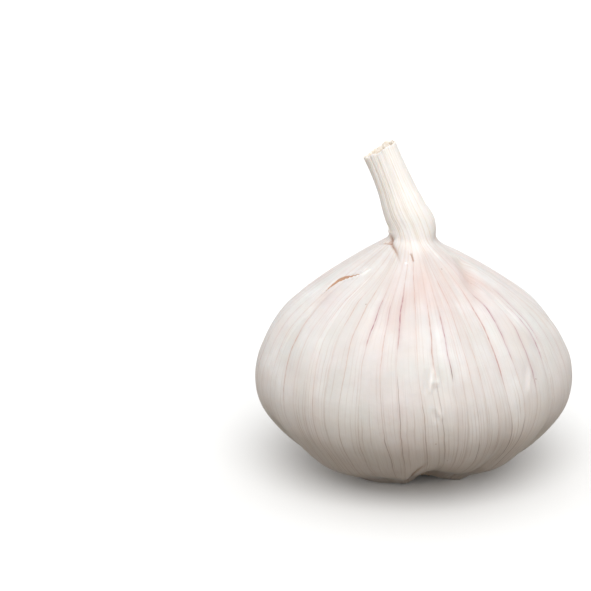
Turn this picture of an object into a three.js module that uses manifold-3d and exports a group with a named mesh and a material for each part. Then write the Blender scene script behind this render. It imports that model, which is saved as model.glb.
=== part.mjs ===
// A whole dried garlic bulb with its cut neck, standing on the undersides of its cloves.
// Millimetres, +Z up. The front is -Y, and angles round the bulb run from the front towards +X, in degrees.
// Two pieces: the skin-wrapped bulb, which runs on into its neck, and the root plate with its root stubs.
import * as THREE from "three";
import { mergeVertices } from "three/addons/utils/BufferGeometryUtils.js";
import Module from "manifold-3d";

const wasm = await Module();
wasm.setup();

// ---- The bulb and its neck ----
const AROUND = 84; // vertices round the bulb
const REST_HEIGHT = 0; // the surface under the bulb
const RECESS_DEPTH = 2.6; // the hollow under the bulb that holds the root plate
const NECK_START = 44; // where the neck begins to lean, measured up the middle of the bulb
const NECK_BENT = 50; // where it has its full lean
const NECK_CUT = 61.8; // where the knife cut it
const NECK_LEAN = 25.5; // degrees from upright
const NECK_HEADING = 239.2; // the way it leans, round from the front

// Half of the bulb's outline, from the middle of its underside, out under the cloves, up and in to the
// neck. Each row is the radius, the height up the middle, the depth of the furrows between the cloves,
// the depth of the neck's pleats, and the number of steps to the next row.
const OUTLINE = [
  [0.0, RECESS_DEPTH, 0.0, 0.0, 1],
  [5.0, RECESS_DEPTH, 0.0, 0.0, 1],
  [8.9, 2.4, 0.0, 0.0, 1],
  [10.5, 1.0, 0.1, 0.0, 1],
  [11.5, -0.1, 0.5, 0.0, 2],
  [13.1, -0.4, 1.2, 0.0, 3],
  [15.7, 1.4, 2.0, 0.0, 2],
  [19.0, 3.0, 2.1, 0.0, 2],
  [22.4, 5.0, 1.8, 0.0, 2],
  [26.1, 9.1, 1.25, 0.0, 2],
  [29.0, 13.3, 0.9, 0.0, 2],
  [30.0, 17.1, 0.8, 0.0, 2],
  [29.6, 20.9, 0.75, 0.0, 2],
  [28.3, 24.2, 0.75, 0.0, 2],
  [26.5, 27.5, 0.8, 0.0, 2],
  [23.8, 30.9, 0.85, 0.0, 2],
  [19.8, 34.2, 0.85, 0.0, 2],
  [15.2, 37.5, 0.75, 0.06, 2],
  [11.0, 40.3, 0.55, 0.14, 2],
  [7.5, 42.4, 0.3, 0.2, 2],
  [5.3, 43.7, 0.1, 0.24, 1],
  [4.35, 44.6, 0.0, 0.26, 1],
  [4.1, 46.2, 0.0, 0.28, 2],
  [4.05, 48.6, 0.0, 0.3, 2],
  [3.85, 51.0, 0.0, 0.32, 2],
  [3.4, 54.0, 0.0, 0.34, 2],
  [3.2, 57.5, 0.0, 0.36, 2],
  [3.1, 60.2, 0.0, 0.38, 2],
  [3.1, NECK_CUT, 0.0, 0.38, 0],
];

// The cloves under the skin: where each begins, how deep the furrow there is beside the others, how far
// its middle swells out, and how far its underside stays off the ground.
const CLOVES = [
  { begins: -62, furrow: 0.9, swell: 0.2, lift: 0.0 },
  { begins: -16, furrow: 0.45, swell: 0.1, lift: 0.5 },
  { begins: 11, furrow: 1.35, swell: 0.2, lift: 1.0 },
  { begins: 34, furrow: 0.7, swell: 0.25, lift: 0.4 },
  { begins: 57, furrow: 0.65, swell: 0.1, lift: 0.1 },
  { begins: 95, furrow: 1.1, swell: -0.1, lift: 0.5 },
  { begins: 135, furrow: 1.7, swell: 0.2, lift: 0.0 },
  { begins: 172, furrow: 1.3, swell: -0.2, lift: 0.9 },
  { begins: 212, furrow: 1.8, swell: 0.1, lift: 0.0 },
  { begins: 254, furrow: 1.1, swell: 0.0, lift: 0.3 },
];
const FURROW_SHARPNESS = 3.6; // powers of the distance from a clove's middle
const FURROW_ROUNDING = 16;
const SWELL_RADII = [11, 20]; // the cloves swell more and more between these radii
const SWELL_HEIGHTS = [36, 44]; // and less and less between these heights
const LIFT_RADII = [10, 13]; // their undersides lift in the same way
const LIFT_HEIGHTS = [2, 11];

// The neck's pleats: how many there are, and waves round it that make some wider and some deeper.
const PLEATS = 14;
const PLEAT_WIDTHS = [
  { waves: 2, by: 1.1, from: 0.6 },
  { waves: 5, by: 0.7, from: 1.9 },
];
const PLEAT_DEPTH = 0.62;
const PLEAT_DEPTH_WAVE = { by: 0.38, from: 0.8 };

// Creases and bumps where the sheaths fold into the neck: the angle and height of each, how far it
// spreads each way, and how far it goes in (below zero) or out.
const NECK_FOLDS = [
  { angle: -58, height: 44.6, wide: 20, tall: 1.0, out: -1.1 },
  { angle: 80, height: 44.8, wide: 18, tall: 0.9, out: -0.7 },
  { angle: 88, height: 48.7, wide: 40, tall: 1.8, out: 0.55 },
  { angle: 170, height: 44.4, wide: 24, tall: 1.2, out: -0.6 },
];

// The cut end, from the rim in to the middle: the share of the neck's radius, and the height over the cut.
// The outer sheath, the inner sheaths and the dried flower stalk stand as rings with gaps between them.
const CUT_END = [
  [0.93, 0.12],
  [0.8, 0.0],
  [0.74, -0.7],
  [0.64, -0.7],
  [0.58, -0.15],
  [0.42, -0.2],
  [0.34, -0.9],
];
const CUT_MIDDLE = -1.2;
const CUT_STEP = 0.85; // how far the longer side of the outer sheath stands over the other
const CUT_LONGER = [-27, -8, 45, 85]; // the step up to that side, and the slope down from it
const CUT_RAGS = [
  { waves: 7, by: 0.1, from: 0 },
  { waves: 11, by: 0.08, from: 2 },
];

// ---- The root plate ----
const FIT_GAP = 0.3; // between the root plate and the bulb
const GROUND_GAP = 0.28; // under the root plate
const PLATE_RADIUS = 7.8;

// Half of the plate's outline, radius and height: a trimmed face inside a low rim, then the side and the
// top, where the plate grows from the bulb.
const PLATE_OUTLINE = [
  [0, 0.7],
  [2.6, 0.8],
  [PLATE_RADIUS - 1.7, 0.62],
  [PLATE_RADIUS - 0.9, 0.35],
  [PLATE_RADIUS - 0.1, 0.7],
  [PLATE_RADIUS + 0.3, 1.5],
  [PLATE_RADIUS, RECESS_DEPTH - FIT_GAP - 0.1],
  [0, RECESS_DEPTH - FIT_GAP],
];
const PLATE_WAVES = [
  { waves: 3, by: 0.03, from: 1 },
  { waves: 7, by: 0.02, from: 0 },
];

// The room that the hollow leaves for the plate and its stubs, radius and height.
const ROOM_RADIUS = 10.8;
const ROOM_OUTLINE = [
  [0, GROUND_GAP],
  [ROOM_RADIUS, GROUND_GAP],
  [ROOM_RADIUS - 0.4, 0.6],
  [ROOM_RADIUS - 2.2, 1.95],
  [ROOM_RADIUS - 2.8, RECESS_DEPTH - FIT_GAP],
  [0, RECESS_DEPTH - FIT_GAP],
];
const LATHE_SIDES = 36;

// The root stubs: two uneven rows of short bent rods.
const STUBS = 68;
const STUB_SIDES = 5;
const STUB_RADIUS = 0.55; // with each stub up to a fifth thinner or thicker
const STUB_TAPER = 0.72;
const STUB_LENGTH = 2.8;
const STUB_LONGER = 1.5; // the most that one is longer than that
const STUB_BEND = 0.45; // the most that a tip is bent aside
const STUB_SPLAY = 0.55; // the most that a stub leans aside, as a slope
const STUB_SPACING = 0.35; // the most that a foot is out of its even place, in steps
const STUB_ROWS = [
  { height: 1.65, dip: -0.16 },
  { height: 0.95, dip: -0.1 },
];
const STUB_SEED = 20;

// ---- Small helpers ----
const radians = THREE.MathUtils.degToRad;
const smoothstep = THREE.MathUtils.smoothstep;
const clamp = THREE.MathUtils.clamp;
const bell = (x) => Math.exp(-x * x);
const turn = (a) => THREE.MathUtils.euclideanModulo(a + 180, 360) - 180; // an angle from -180 to 180

// The sum of a list of waves round the middle, at an angle in radians.
const ripple = (list, a) => list.reduce((sum, w) => sum + w.by * Math.sin(w.waves * a + w.from), 0);

// A repeatable stream of random numbers from 0 to 1.
function dice(seed) {
  let state = seed;
  return () => {
    state = (state * 1664525 + 1013904223) % 4294967296;
    return state / 4294967296;
  };
}

function geometryOf(positions, index) {
  return new THREE.BufferGeometry()
    .setAttribute("position", new THREE.Float32BufferAttribute(positions, 3))
    .setIndex(index);
}

function solidOf(geometry) {
  const bare = geometry.clone();
  bare.deleteAttribute("normal");
  bare.deleteAttribute("uv");
  const merged = mergeVertices(bare, 1e-4);
  return new wasm.Manifold(
    new wasm.Mesh({
      numProp: 3,
      vertProperties: new Float32Array(merged.attributes.position.array),
      triVerts: new Uint32Array(merged.index.array),
    }),
  );
}

// A half outline of radii and heights turned round the Z axis.
function turned(outline) {
  const points = outline.map(([r, z]) => new THREE.Vector2(r, z));
  return new THREE.LatheGeometry(points, LATHE_SIDES).rotateX(Math.PI / 2);
}

// The outer shell of a solid's largest body, without the hollows that fusing sealed in it or loose scraps.
function wholeOf(solid) {
  return solid.decompose().reduce((a, b) => (a.volume() > b.volume() ? a : b));
}

function meshOf(solid, name, material) {
  const made = solid.getMesh();
  const geometry = geometryOf(made.vertProperties, Array.from(made.triVerts));
  geometry.computeVertexNormals();
  const mesh = new THREE.Mesh(geometry, material);
  mesh.name = name;
  return mesh;
}

// ---- The bulb's surface ----

// A smooth curve through one column of the outline table, at a place counted in rows.
function along(column, place) {
  const row = Math.min(Math.floor(place), OUTLINE.length - 2);
  const at = (k) => OUTLINE[clamp(k, 0, OUTLINE.length - 1)][column];
  const [a, b, c, d] = [at(row - 1), at(row), at(row + 1), at(row + 2)];
  const t = place - row;
  const cubic = -a + 3 * b - 3 * c + d;
  const square = 2 * a - 5 * b + 4 * c - d;
  return 0.5 * (2 * b + (c - a) * t + square * t * t + cubic * t * t * t);
}

// At an angle: how far the furrows go in, from 0 on a clove's middle to about 1 in a furrow, how far the
// clove swells, and how far it stays off the ground.
function cloveAt(angle) {
  const here = THREE.MathUtils.euclideanModulo(angle - CLOVES[0].begins, 360);
  const starts = CLOVES.map((clove) => clove.begins - CLOVES[0].begins);
  const k = starts.findLastIndex((start) => start <= here);
  const ends = k + 1 < starts.length ? starts[k + 1] : 360;
  const across = (2 * (here - starts[k])) / (ends - starts[k]) - 1; // from -1 to 1 over the clove
  const far = Math.abs(across);
  const next = CLOVES[(k + 1) % CLOVES.length];
  const edge = across < 0 ? CLOVES[k] : next;
  const beside = across < 0 ? CLOVES[(k + CLOVES.length - 1) % CLOVES.length] : next;
  const round = FURROW_SHARPNESS / (FURROW_SHARPNESS + FURROW_ROUNDING);
  const dip = (far ** FURROW_SHARPNESS * (1 - round * far ** FURROW_ROUNDING)) / (1 - round);
  return {
    furrow: edge.furrow * dip,
    swell: CLOVES[k].swell * (1 - far * far),
    lift: CLOVES[k].lift + ((beside.lift - CLOVES[k].lift) * far * far) / 2,
  };
}

// The neck's lengthwise pleats, from -1 to 1.
function pleatAt(angle) {
  const a = radians(angle);
  const depth = PLEAT_DEPTH + PLEAT_DEPTH_WAVE.by * Math.cos(a + PLEAT_DEPTH_WAVE.from);
  return depth * Math.cos(PLEATS * a + ripple(PLEAT_WIDTHS, a));
}

// The middle line: straight up through the bulb, then over into the leaning neck.
const LINE_STEP = 0.05;
const middleLine = [];
{
  const point = new THREE.Vector3();
  const way = radians(NECK_HEADING);
  for (let s = 0; s <= NECK_CUT + 2; s += LINE_STEP) {
    const lean = radians(NECK_LEAN) * smoothstep(s, NECK_START, NECK_BENT);
    middleLine.push({ point: point.clone(), lean });
    const aside = Math.sin(lean) * LINE_STEP;
    point.add(new THREE.Vector3(Math.sin(way) * aside, -Math.cos(way) * aside, Math.cos(lean) * LINE_STEP));
  }
}

// The point at a radius and an angle round the middle line, at a height counted along it.
function around(radius, angle, height) {
  const k = clamp(Math.floor(height / LINE_STEP), 0, middleLine.length - 2);
  const { point, lean } = middleLine[k];
  const rest = height - k * LINE_STEP;
  const a = radians(angle);
  const way = radians(NECK_HEADING);
  const axis = new THREE.Vector3(Math.cos(way), Math.sin(way), 0); // the neck leans by turning about this
  return new THREE.Vector3(radius * Math.sin(a), -radius * Math.cos(a), rest)
    .applyAxisAngle(axis, lean)
    .add(point);
}

// The skin's radius and height at a place along the outline and an angle round it.
function skinAt(place, angle) {
  const step = 0.01;
  const [r, z] = [along(0, place), along(1, place)];
  const dr = along(0, place + step) - along(0, place - step);
  const dz = along(1, place + step) - along(1, place - step);
  const length = Math.hypot(dr, dz);
  const [outR, outZ] = [dz / length, -dr / length]; // square to the outline, pointing out
  const { furrow, swell, lift } = cloveAt(angle);
  const swelling = smoothstep(r, ...SWELL_RADII) * (1 - smoothstep(z, ...SWELL_HEIGHTS));
  const lifting = smoothstep(r, ...LIFT_RADII) * (1 - smoothstep(z, ...LIFT_HEIGHTS));
  let out = swell * swelling - lift * lifting;
  out += pleatAt(angle) * along(3, place) - furrow * along(2, place);
  for (const fold of NECK_FOLDS) {
    const near = bell(turn(angle - fold.angle) / fold.wide) * bell((z - fold.height) / fold.tall);
    out += fold.out * near;
  }
  return [r + outR * out, z + outZ * out];
}

// How far the cut stands over its mean height at an angle: one side of the sheath is left longer.
function raggedAt(angle) {
  const [up, full, down, off] = CUT_LONGER;
  const longer = smoothstep(turn(angle), up, full) * (1 - smoothstep(turn(angle), down, off));
  return CUT_STEP * (longer - 0.5) + ripple(CUT_RAGS, radians(angle));
}

function bulbSolid() {
  const last = OUTLINE.length - 1;
  const rows = OUTLINE.flatMap((row, k) => Array.from({ length: row[4] }, (_, n) => k + n / row[4]));
  rows.push(last);
  rows.shift(); // the middle of the underside is one point

  const positions = [];
  const add = (p) => positions.push(p.x, p.y, p.z);
  add(around(0, 0, RECESS_DEPTH));
  const angles = Array.from({ length: AROUND }, (_, j) => (360 * j) / AROUND - 180);
  for (const place of rows) {
    const nearCut = smoothstep(place, last - 2, last);
    for (const angle of angles) {
      const [radius, height] = skinAt(place, angle);
      add(around(radius, angle, height + raggedAt(angle) * nearCut));
    }
  }
  for (const [share, over] of CUT_END) {
    const nearRim = smoothstep(share, 0.3, 0.9);
    for (const angle of angles) {
      const [radius] = skinAt(last, angle);
      add(around(radius * share, angle, NECK_CUT + over + raggedAt(angle) * nearRim));
    }
  }
  add(around(0, 0, NECK_CUT + CUT_MIDDLE));

  const index = [];
  const rings = rows.length + CUT_END.length;
  const at = (ring, j) => 1 + ring * AROUND + (j % AROUND);
  const end = 1 + rings * AROUND;
  for (let j = 0; j < AROUND; j++) {
    index.push(0, at(0, j + 1), at(0, j));
    index.push(end, at(rings - 1, j), at(rings - 1, j + 1));
    for (let ring = 0; ring + 1 < rings; ring++) {
      index.push(at(ring, j), at(ring, j + 1), at(ring + 1, j));
      index.push(at(ring, j + 1), at(ring + 1, j + 1), at(ring + 1, j));
    }
  }
  const lobed = solidOf(geometryOf(positions, index));

  // The cloves have settled to small flats where the bulb stands.
  const below = new THREE.BoxGeometry(100, 100, 20).translate(0, 0, REST_HEIGHT - 10);
  return lobed.subtract(solidOf(below));
}

// ---- The root plate's parts ----

// A root stub as a short bent rod that tapers from its foot to its tip.
function stub(foot, aim, length, thick, bend) {
  const rod = new THREE.CylinderGeometry(thick * STUB_TAPER, thick, length, STUB_SIDES, 2);
  rod.translate(0, length / 2, 0);
  const p = rod.attributes.position;
  for (let k = 0; k < p.count; k++) {
    const share = p.getY(k) / length;
    p.setX(k, p.getX(k) + bend * share * share);
  }
  rod.applyQuaternion(new THREE.Quaternion().setFromUnitVectors(new THREE.Vector3(0, 1, 0), aim));
  return rod.translate(foot.x, foot.y, foot.z);
}

function rootSolid() {
  const plate = turned(PLATE_OUTLINE);
  const p = plate.attributes.position;
  for (let k = 0; k < p.count; k++) {
    const wave = 1 + ripple(PLATE_WAVES, Math.atan2(p.getY(k), p.getX(k)));
    p.setXY(k, p.getX(k) * wave, p.getY(k) * wave);
  }

  const roll = dice(STUB_SEED);
  const aside = (most) => most * (2 * roll() - 1);
  const pieces = [solidOf(plate)];
  for (let k = 0; k < STUBS; k++) {
    const row = STUB_ROWS[k % STUB_ROWS.length];
    const a = (2 * Math.PI * (k + aside(STUB_SPACING))) / STUBS;
    const out = new THREE.Vector3(Math.cos(a), Math.sin(a), 0);
    const side = new THREE.Vector3(-Math.sin(a), Math.cos(a), 0);
    const foot = out.clone().multiplyScalar(PLATE_RADIUS - 1).setZ(row.height);
    const aim = out.clone().addScaledVector(side, aside(STUB_SPLAY));
    aim.z = row.dip * roll();
    const length = STUB_LENGTH + STUB_LONGER * roll();
    const thick = STUB_RADIUS * (1 + aside(0.2));
    pieces.push(solidOf(stub(foot, aim.normalize(), length, thick, aside(STUB_BEND))));
  }

  // The stubs were pressed into the hollow under the cloves, and trimmed just clear of the ground.
  const roots = wasm.Manifold.union(pieces);
  return wholeOf(roots.intersect(solidOf(turned(ROOM_OUTLINE))));
}

// ---- The part ----
const skin = new THREE.MeshStandardMaterial({ color: 0xe9ded6, roughness: 0.55, metalness: 0 });
const roots = new THREE.MeshStandardMaterial({ color: 0xb8935f, roughness: 0.9, metalness: 0 });

const part = new THREE.Group();
part.add(meshOf(bulbSolid(), "bulb", skin));
part.add(meshOf(rootSolid(), "root_plate", roots));

// The origin is on the ground, under the middle of the part's box.
const middle = new THREE.Box3().setFromObject(part).getCenter(new THREE.Vector3());
for (const piece of part.children) {
  piece.geometry.translate(-middle.x, -middle.y, 0);
}

export default part;
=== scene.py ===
# A whole garlic bulb, dried for keeping: papery skins drawn tight over a ring of cloves, gathered into a
# neck that was cut short, with the corky root plate and its trimmed roots in the hollow underneath.
# Metres, +Z up, the front towards -Y; sizes are named in millimetres and angles run from the front to +X.
import math

import bpy
import numpy as np
from mathutils import Matrix


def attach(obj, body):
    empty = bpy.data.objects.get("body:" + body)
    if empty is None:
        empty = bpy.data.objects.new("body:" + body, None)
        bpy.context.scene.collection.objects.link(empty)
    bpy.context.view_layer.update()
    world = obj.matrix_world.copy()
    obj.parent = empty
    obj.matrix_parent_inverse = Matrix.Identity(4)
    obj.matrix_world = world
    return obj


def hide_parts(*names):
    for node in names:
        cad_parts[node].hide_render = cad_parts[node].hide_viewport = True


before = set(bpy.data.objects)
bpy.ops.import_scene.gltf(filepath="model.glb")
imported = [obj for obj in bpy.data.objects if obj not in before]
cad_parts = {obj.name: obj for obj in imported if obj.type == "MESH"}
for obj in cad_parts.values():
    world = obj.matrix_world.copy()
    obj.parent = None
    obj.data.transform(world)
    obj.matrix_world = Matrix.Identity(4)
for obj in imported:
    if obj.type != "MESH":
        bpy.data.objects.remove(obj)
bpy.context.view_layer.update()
MM = 0.001

# ---- The bulb ----
# The cloves stand in a ring under several dry skins that grew with them and run on up into the neck. Only
# the skins show: papery, satin, drawn into shallow furrows between the cloves and pleated at the neck.
# The bulb was cured, then its neck was cut with a knife, and it stands on the settled flats of its cloves.

# Half the outline: radius, height up the middle, depth of the furrows, depth of the neck's pleats.
OUTLINE = np.array([
    (0.0, 2.6, 0.0, 0.0), (5.0, 2.6, 0.0, 0.0), (8.9, 2.4, 0.0, 0.0), (10.5, 1.0, 0.1, 0.0),
    (11.5, -0.1, 0.5, 0.0), (13.1, -0.4, 1.1, 0.0), (15.7, 1.4, 2.0, 0.0), (19.0, 3.0, 2.1, 0.0),
    (22.4, 5.0, 1.8, 0.0), (26.1, 9.1, 1.1, 0.0), (29.0, 13.3, 0.6, 0.0), (30.0, 17.1, 0.4, 0.0),
    (29.6, 20.9, 0.35, 0.0), (28.3, 24.2, 0.35, 0.0), (26.5, 27.5, 0.35, 0.0), (23.8, 30.9, 0.4, 0.0),
    (19.8, 34.2, 0.4, 0.0), (15.2, 37.5, 0.35, 0.0), (11.0, 40.3, 0.3, 0.02), (7.5, 42.4, 0.2, 0.06),
    (5.3, 43.7, 0.1, 0.07), (4.35, 44.6, 0.0, 0.08), (4.1, 46.2, 0.0, 0.08), (4.05, 48.6, 0.0, 0.08),
    (3.85, 51.0, 0.0, 0.08), (3.4, 54.0, 0.0, 0.09), (3.2, 57.5, 0.0, 0.1), (3.1, 60.2, 0.0, 0.12),
    (3.1, 61.8, 0.0, 0.14),
])
SHOULDER_ROW, NECK_ROW = 18, 20  # the outline's rows where the top of the shoulders and the neck begin
MIDDLE = (0.048, 0.194)  # the bulb's middle line stands here, so that its box is centred
NECK_CUT = 61.8
NECK_BEND = (44.0, 50.0)  # the neck leans over between these heights
NECK_LEAN = math.radians(25.5)
NECK_HEADING = math.radians(239.2)

# The cloves: where each begins, its furrow, its swell and the lift of its underside.
CLOVES = np.array([
    (-62, 0.9, 0.2, 0.0), (-16, 0.28, 0.1, 0.5), (11, 1.35, 0.2, 1.0), (34, 0.7, 0.25, 0.4),
    (57, 0.65, 0.1, 0.1), (95, 1.1, -0.1, 0.5), (135, 1.7, 0.2, 0.0), (172, 1.3, -0.2, 0.9),
    (212, 1.8, 0.1, 0.0), (254, 1.1, 0.0, 0.3),
])


def smooth(x, low, high):
    t = np.clip((x - low) / (high - low), 0, 1)
    return t * t * (3 - 2 * t)


def between(x, low, high, soft):
    """One between two values and nothing outside them, with soft ends."""
    return smooth(x, low - soft, low + soft) * (1 - smooth(x, high - soft, high + soft))


def bell(x):
    return np.exp(-x * x)


def turn(angle):
    """The same angle, from -180 to 180 degrees."""
    return (angle + 180) % 360 - 180


def along(column, place):
    """A smooth curve through one column of the outline, at places counted in rows."""
    row = np.minimum(np.floor(place).astype(int), len(OUTLINE) - 2)
    a, b, c, d = (OUTLINE[np.clip(row + k, 0, len(OUTLINE) - 1), column] for k in (-1, 0, 1, 2))
    t = place - row
    return b + 0.5 * ((c - a) * t + (2 * a - 5 * b + 4 * c - d) * t ** 2 + (3 * b - 3 * c + d - a) * t ** 3)


def clove_at(angle):
    """How far the furrows go in at an angle, how far the clove swells, and its underside's lift."""
    begins, furrow, swell, lift = CLOVES.T
    count = len(begins)
    here = (angle - begins[0]) % 360
    k = np.searchsorted(begins - begins[0], here, side="right") - 1
    width = np.append(np.diff(begins), 360 - (begins[-1] - begins[0]))
    across = 2 * (here - (begins - begins[0])[k]) / width[k] - 1
    far, side = np.abs(across), np.where(across < 0, -1, 1)
    edge = np.where(across < 0, k, (k + 1) % count)
    sharp, rounding = 3.6, 16
    share = sharp / (sharp + rounding)
    dip = far ** sharp * (1 - share * far ** rounding) / (1 - share)
    lifted = lift[k] + (lift[(k + side) % count] - lift[k]) * far ** 2 / 2
    return furrow[edge] * dip, swell[k] * (1 - far ** 2), lifted


NECK_TWIST = 22  # degrees that the leaning neck draws its fibres aside


def fibre_at(angle, z):
    """The angle that a fibre of the neck comes from."""
    return angle + NECK_TWIST * smooth(z, 42, 50)


def pleat_at(angle, z):
    """The neck's pleats: below zero in their creases, deepest at its front left, above it on the ribs."""
    angle = fibre_at(angle, z) - NECK_TWIST
    a = np.radians(angle)
    uneven = 14 * a + 1.1 * np.sin(2 * a + 0.6) + 0.7 * np.sin(5 * a + 1.9)
    depth = (0.44 + 0.3 * np.cos(a + 0.8)) * (1 - 0.8 * bell(turn(angle - 28) / 60))
    return depth * (1 - 2 * bell(np.sin(uneven / 2) / 0.42))


def ragged_at(angle):
    """How high the knife left the neck's end at an angle: lower in front and on its left, a little torn."""
    a = np.radians(angle)
    high_side = between(turn(angle), 5, 175, 20)
    cut = 0.45 * (high_side - 1) - 0.27 * np.cos(a) + 0.75 * bell(turn(angle - 180) / 65)
    return cut + 0.06 * np.sin(7 * a) + 0.05 * np.sin(11 * a + 2) + 0.03 * np.sin(23 * a + 1)


def around(radius, angle, height):
    """The point at a radius and an angle round the middle line, which leans over into the neck."""
    step = 0.05
    s = np.arange(0, NECK_CUT + 3, step)
    lean = NECK_LEAN * smooth(s, *NECK_BEND)
    aside = np.append(0, np.cumsum(np.sin(lean) * step)[:-1])
    up = np.append(0, np.cumsum(np.cos(lean) * step)[:-1])
    k = np.clip((height / step).astype(int), 0, len(s) - 2)
    rest, tilt = height - s[k], lean[k]
    a = np.radians(angle)
    x, y = radius * np.sin(a), -radius * np.cos(a)
    way = (math.sin(NECK_HEADING), -math.cos(NECK_HEADING))
    level = x * way[0] + y * way[1]
    moved = level * np.cos(tilt) + rest * np.sin(tilt) - level + aside[k]
    tall = rest * np.cos(tilt) - level * np.sin(tilt) + up[k]
    return np.stack([x + moved * way[0] + MIDDLE[0], y + moved * way[1] + MIDDLE[1], tall], -1)


# The grid: rows even along the skin but closer under the neck, and twice as many columns round the body as
# round the neck.
NECK_COLUMNS = 240
BODY_COLUMNS = 2 * NECK_COLUMNS
HOLLOW_ROWS, BODY_ROWS, SHOULDER_ROWS, NECK_ROWS = 11, 116, 30, 70
fine = np.linspace(0, len(OUTLINE) - 1, 6000)
skin_length = np.append(0, np.cumsum(np.hypot(np.diff(along(0, fine)), np.diff(along(1, fine)))))
rising = fine > 5  # above the underside a height is met only once


def rows_between(low, high, count):
    """Places between two rows of the outline, evenly spaced along the skin."""
    ends = np.interp([low, high], fine, skin_length)
    return np.interp(np.linspace(*ends, count), skin_length, fine)


def eased(x, table):
    """The value at x of a table of places and values, with its corners rounded off."""
    places, values = np.transpose(table)
    reach = places[-1] - places[0]
    return sum(np.interp(x + k * reach / 90, places, values) for k in (-1, -0.5, 0, 0.5, 1)) / 5


def beside(points, angle, r, s):
    """Distance in mm from a line on the skin, above it positive, and the share of the way along it.
    The line goes through points of angle and height."""
    best, share = np.full_like(r, 1e3), np.zeros_like(r)
    points_s = [np.interp(height, along(1, fine)[rising], skin_length[rising]) for _, height in points]
    for k in range(len(points) - 1):
        x, y = np.radians(turn(angle - points[k][0])) * r, s - points_s[k]
        end_x, end_y = math.radians(points[k + 1][0] - points[k][0]) * r, points_s[k + 1] - points_s[k]
        t = np.clip((x * end_x + y * end_y) / (end_x ** 2 + end_y ** 2), 0, 1)
        gap = np.hypot(x - t * end_x, y - t * end_y) * np.where(x * end_y - y * end_x < 0, 1, -1)
        closer = np.abs(gap) < np.abs(best)
        best = np.where(closer, gap, best)
        share = np.where(closer, (k + t) / (len(points) - 1), share)
    return best, share


# Where the sheaths fold into the neck, by angle and height: how far each way, and how deep.
NECK_FOLDS = [(-60, 44.5, 17, 0.9, 0.65), (80, 44.4, 18, 0.8, 0.5), (170, 44.4, 24, 1.2, 0.6)]
# The neck is not round. How far it stands out on each side, by height: a bump low on its right, over a
# shoulder that lies flatter there, and a left side that widens towards the cut.
SIDES = [(98, 45, [(28, 0), (31.5, -0.15), (35, -0.35), (38, -0.38), (41, -0.6), (42.5, -0.85),
                   (43.6, -0.45), (44.6, 0.4), (47, 0.45), (48.2, 0.05), (49.5, -0.4), (52.5, -0.4),
                   (54, -0.27), (61.8, -0.4)]),
         (-76, 50, [(46.5, 0), (49, 0.3), (57, 0.4), (61.8, 0.7)])]
# The underside settled a little unevenly: how far it is drawn up along the front, by angle.
SETTLED = [(-30, 0.2), (-14, 0.3), (-8, 0.5), (-3, 0.4), (1.5, 1.2), (7, 2.3), (12.5, 2.0), (17.5, 1.6),
           (22, 1.05), (27, 0.4), (33, -0.1), (40, -0.4), (47, -0.35), (54, 0.05), (62, 0.3), (72, 0.4),
           (90, 0)]
# Creases through these points of angle and height, how deep, how wide and how darkly they are coloured: the
# neck's fold over the left shoulder with its side branch, the one that slants up from the ground between two
# cloves, and a soft trough down the right shoulder. The colour is painted shade, a little browned along the
# creases.
CREASES = [([(-80, 45.0), (-66, 44.4), (-51, 44.0), (-33, 43.4), (-24, 42.9), (-16, 42.0), (-10, 41.0)],
            0.45, 0.24, 0.8),
           ([(-58, 44.1), (-67, 43.9), (-76, 43.5), (-87, 43.0)], 0.35, 0.22, 0.7),
           ([(-4.5, 0.4), (-1.5, 3.2), (1.2, 6.6), (4.2, 9.1), (7.5, 11.6)], 0.5, 0.32, 0.65),
           ([(76, 41.6), (62, 40.2), (48, 38.3), (40, 35.4), (37, 32)], 0.75, 1.6, 0.22)]
# The outer skin is torn on the left shoulder: the slit's line, wide at its start.
SLIT = [(-67.5, 35.4), (-68.5, 36.6), (-66, 37.8), (-61, 38.5), (-53.5, 39.1), (-47.5, 39.7), (-44.5, 40.7)]
# Dry puckers, with how high and how wide each stands. The hollow beside each lies on its left going down,
# or on its right where the width is negative. The first three make one small fold that ends in a step. Each
# crest is also lightened in the colour, a painted highlight.
PUCKERS = [([(7.8, 28.2), (6.8, 26.6), (6.2, 25.0), (5.9, 23.7)], 0.3, 0.4),
           ([(7.8, 28.2), (8.6, 26.6), (9.4, 25.0)], 0.22, -0.42),
           ([(5.6, 25.0), (7.6, 25.5), (9.8, 25.2)], 0.22, 0.5),
           ([(7.9, 21.6), (9.2, 20.4), (10.0, 19.4)], 0.24, 0.4),
           ([(48.6, 25.9), (45.3, 23.5), (43.3, 21.4)], 0.15, 0.4),
           ([(-118, 24.5), (-121, 21.5), (-120, 19.0)], 0.16, 0.5), ([(150, 29.5), (153, 26.5)], 0.14, 0.5),
           ([(196, 20.5), (193, 17.5)], 0.16, 0.5)]
# A nick, darkened in the colour as painted shade, and a raised fleck at the neck's foot.
NICK = [(-3.5, 43.0), (-0.5, 42.8), (2.6, 41.8)]
FLECK = [(-8, 41.8), (-5.6, 41.5)]


def neck_share(angle, z):
    """One on the neck and nothing on the body; the neck's sheaths reach further down in front."""
    foot = 42.2 - 2.0 * bell(turn(angle - 8) / 45)
    return smooth(z, foot, foot + 5.5)


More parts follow.
